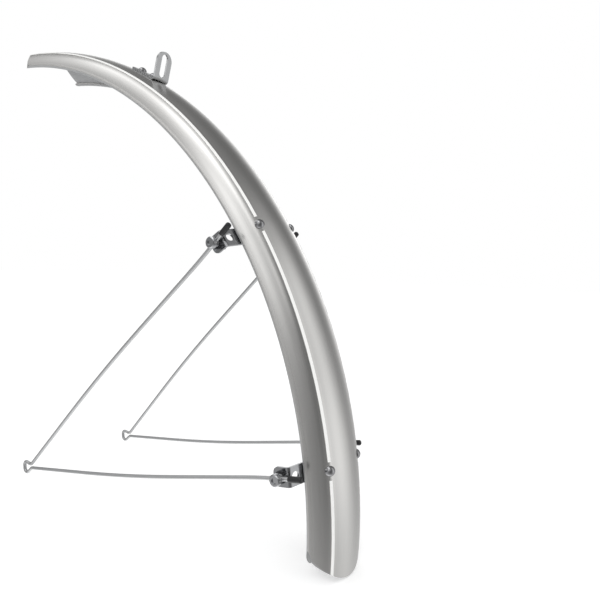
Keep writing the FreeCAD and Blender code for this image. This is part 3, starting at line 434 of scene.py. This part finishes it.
# %% [markdown]
# ## The floor's finish
# The floor is matt white paper. To the camera it is lifted a little by a glow, to be as white as the background
# behind it, where a strength of 1 is white. Metal doesn't mirror it, because the studio below has soft patches
# of light in its place.

# %% Floor finish
floor_lift = 0.22
floor_finish, tree, shader = new_finish("white_studio_floor", Base_Color=white, Roughness=0.9,
                                        Specular_IOR_Level=0.0)
ray = add(tree, "ShaderNodeLightPath")
glow = add(tree, "ShaderNodeMath", {"operation": "MULTIPLY"}, _0=ray.outputs["Is Camera Ray"], _1=floor_lift)
lift = add(tree, "ShaderNodeEmission", Color=white, Strength=glow.outputs[0])
both = add(tree, "ShaderNodeAddShader", _0=shader.outputs[0], _1=lift.outputs[0])
output = next(node for node in tree.nodes if node.type == "OUTPUT_MATERIAL")
tree.links.new(both.outputs[0], output.inputs["Surface"])
floor.data.materials.append(floor_finish)
floor.visible_glossy = False
print(floor_finish.name, "on the floor")

# %% [markdown]
# ## The studio
# Bare metal has hardly a colour of its own: it shows the studio around it. Here a row of soft lamps hangs
# overhead, from well ahead of the wheel to behind the camera, and draws the long pale band down the flank. The
# room between them is dark grey, so the bends stay dark. Area lamps could do this too, but the world can draw
# each lamp as a soft patch by its direction, which is quick and free of noise.

# %% A soft lamp
def glow_from(tree, direction, towards, spread, strength):
    """A soft round patch of light: full towards its middle, half as strong spread degrees from it."""
    near = add(tree, "ShaderNodeVectorMath", {"operation": "DOT_PRODUCT"}, _0=direction,
               _1=Vector(towards).normalized())
    sharp = math.log(2) / (1 - math.cos(math.radians(spread)))
    power = add(tree, "ShaderNodeMath", {"operation": "MULTIPLY_ADD"}, _0=near.outputs["Value"], _1=sharp,
                _2=-sharp)
    fade = add(tree, "ShaderNodeMath", {"operation": "EXPONENT"}, _0=power.outputs[0])
    return add(tree, "ShaderNodeMath", {"operation": "MULTIPLY"}, _0=fade.outputs[0], _1=strength).outputs[0]


print("each lamp is at half its strength at the edge of its spread")

# %% [markdown]
# ## The lamps
# Each line is a lamp's place in words, the way towards it, its spread in degrees and its strength, where 1 is
# white. Their strengths were set by comparing the tones on the blade with those of the photograph.

# %% Lamps
lamps = (
    ("ahead, high, to the right", (0.80, -0.17, 0.58), 9, 0.27),
    ("ahead, high", (0.80, 0.09, 0.59), 9, 0.24),
    ("ahead, higher", (0.71, 0.22, 0.67), 9, 0.17),
    ("overhead, well ahead", (0.53, 0.09, 0.84), 9, 1.05),
    ("overhead, ahead and left", (0.58, 0.35, 0.73), 9, 0.08),
    ("overhead, a little ahead", (0.32, 0.23, 0.92), 9, 0.43),
    ("overhead", (0.06, 0.37, 0.93), 9, 1.50),
    ("overhead, a little behind", (-0.22, 0.50, 0.83), 9, 1.09),
    ("left, high", (0.05, 0.79, 0.62), 9, 0.94),
    ("left and behind, high", (-0.52, 0.61, 0.59), 9, 0.59),
    ("left, lower", (-0.16, 0.90, 0.40), 9, 0.61),
    ("soft ceiling", (0.15, 0.41, 0.90), 28, 0.61),
    ("wall on the camera's side", (-0.30, 0.88, 0.30), 24, 0.23),
    ("white backdrop", (0.41, -0.89, 0.18), 16, 1.26),
    ("top of the backdrop", (0.72, -0.59, 0.36), 9, 1.3),
    ("lamp ahead and left", (0.72, 0.61, 0.33), 8, 1.3),
    ("floor to the left", (0.24, 0.95, -0.21), 20, 0.29),
    ("floor below", (0.24, -0.06, -0.97), 40, 1.50),
    ("wall behind", (-0.91, -0.40, -0.06), 22, 0.80),
    ("floor behind", (-0.61, -0.66, -0.43), 22, 0.24),
    ("lamp behind, high", (-0.73, -0.36, 0.58), 18, 0.65),
    ("far wall", (0.16, -0.98, 0.09), 22, 0.20),
)
print(len(lamps), "lamps:", "; ".join(name for name, *_ in lamps))

# %% [markdown]
# ## The world
# Metal sees the room with its lamps. Matt pieces get a plain, even room instead, so that their colours come out
# about as they are written. What the camera sees directly is white. The Light Path node tells the world which
# kind of ray has reached it.

# %% World
room_grey = 0.104
plain_level = 0.85
world = bpy.data.worlds.new("studio")
bpy.context.scene.world = world
world.use_nodes = True
tree = world.node_tree
tree.nodes.clear()
direction = add(tree, "ShaderNodeTexCoord").outputs["Generated"]
total = room_grey
for _, towards, spread, strength in lamps:
    lamp = glow_from(tree, direction, towards, spread, strength)
    total = add(tree, "ShaderNodeMath", {"operation": "ADD"}, _0=total, _1=lamp).outputs[0]
mirrored_room = add(tree, "ShaderNodeBackground", Color=white, Strength=total)
plain_room = add(tree, "ShaderNodeBackground", Color=white, Strength=plain_level)
white_room = add(tree, "ShaderNodeBackground", Color=white, Strength=1.0)
ray = add(tree, "ShaderNodeLightPath")
around = add(tree, "ShaderNodeMixShader", _0=ray.outputs["Is Glossy Ray"], _1=plain_room.outputs[0],
             _2=mirrored_room.outputs[0])
direct = add(tree, "ShaderNodeMath", {"operation": "MAXIMUM"}, _0=ray.outputs["Is Camera Ray"],
             _1=ray.outputs["Is Transmission Ray"])
seen = add(tree, "ShaderNodeMixShader", _0=direct.outputs[0], _1=around.outputs[0], _2=white_room.outputs[0])
add(tree, "ShaderNodeOutputWorld", Surface=seen.outputs[0])
print("world", world.name, "with a plain level of", plain_level)

# %% [markdown]
# ## A key light
# One real soft light stands on the camera's side. It models the matt pieces and gives the floor a shadow with a
# direction. The metal doesn't mirror it, because the lamps that metal shows are already in the world.

# %% Key light
key_place, key_target = Vector((-0.3, 0.9, 0.9)), Vector((-0.05, 0, -0.1))
key_data = bpy.data.lights.new("key", "AREA")
key_data.shape = "DISK"
key_data.size = 0.5
key_data.energy = 3.0
key = bpy.data.objects.new("key", key_data)
bpy.context.scene.collection.objects.link(key)
key.visible_glossy = False
key_turn = (key_place - key_target).to_track_quat("Z", "Y").to_matrix().to_4x4()
key.matrix_world = Matrix.Translation(key_place) @ key_turn
print("key light at", tuple(round(v, 2) for v in key_place), "with", key_data.energy, "W")

# %% [markdown]
# ## The camera
# The camera's place was worked out from the blade's outline and from its width and depth: it stands behind and
# to the left of the wheel, a little above its centre, with a wide lens. It could be aimed at a point, but the
# view has a slight roll, so its three axes are written out.

# %% Camera
camera_right = Vector((-0.8416, -0.5388, 0.0360))
camera_up = Vector((0.0677, -0.0392, 0.9969))
camera_back = Vector((-0.5358, 0.8415, 0.0695))
camera_place = wheel_centre + Vector((-0.4949, 0.2768, 0.1780))
pixels_per_radian = 500.316
frame_pixels = 600
camera_data = bpy.data.cameras.new("camera")
camera_data.sensor_fit = "HORIZONTAL"
camera_data.sensor_width = 36.0
camera_data.lens = camera_data.sensor_width * pixels_per_radian / frame_pixels
camera_data.clip_start = 0.01
camera = bpy.data.objects.new("camera", camera_data)
bpy.context.scene.collection.objects.link(camera)
axes = Matrix((camera_right, camera_up, camera_back)).transposed().to_4x4()
camera.matrix_world = Matrix.Translation(camera_place) @ axes
bpy.context.scene.camera = camera
bpy.context.scene.view_settings.view_transform = "Standard"
print("lens", round(camera_data.lens, 2), "mm")
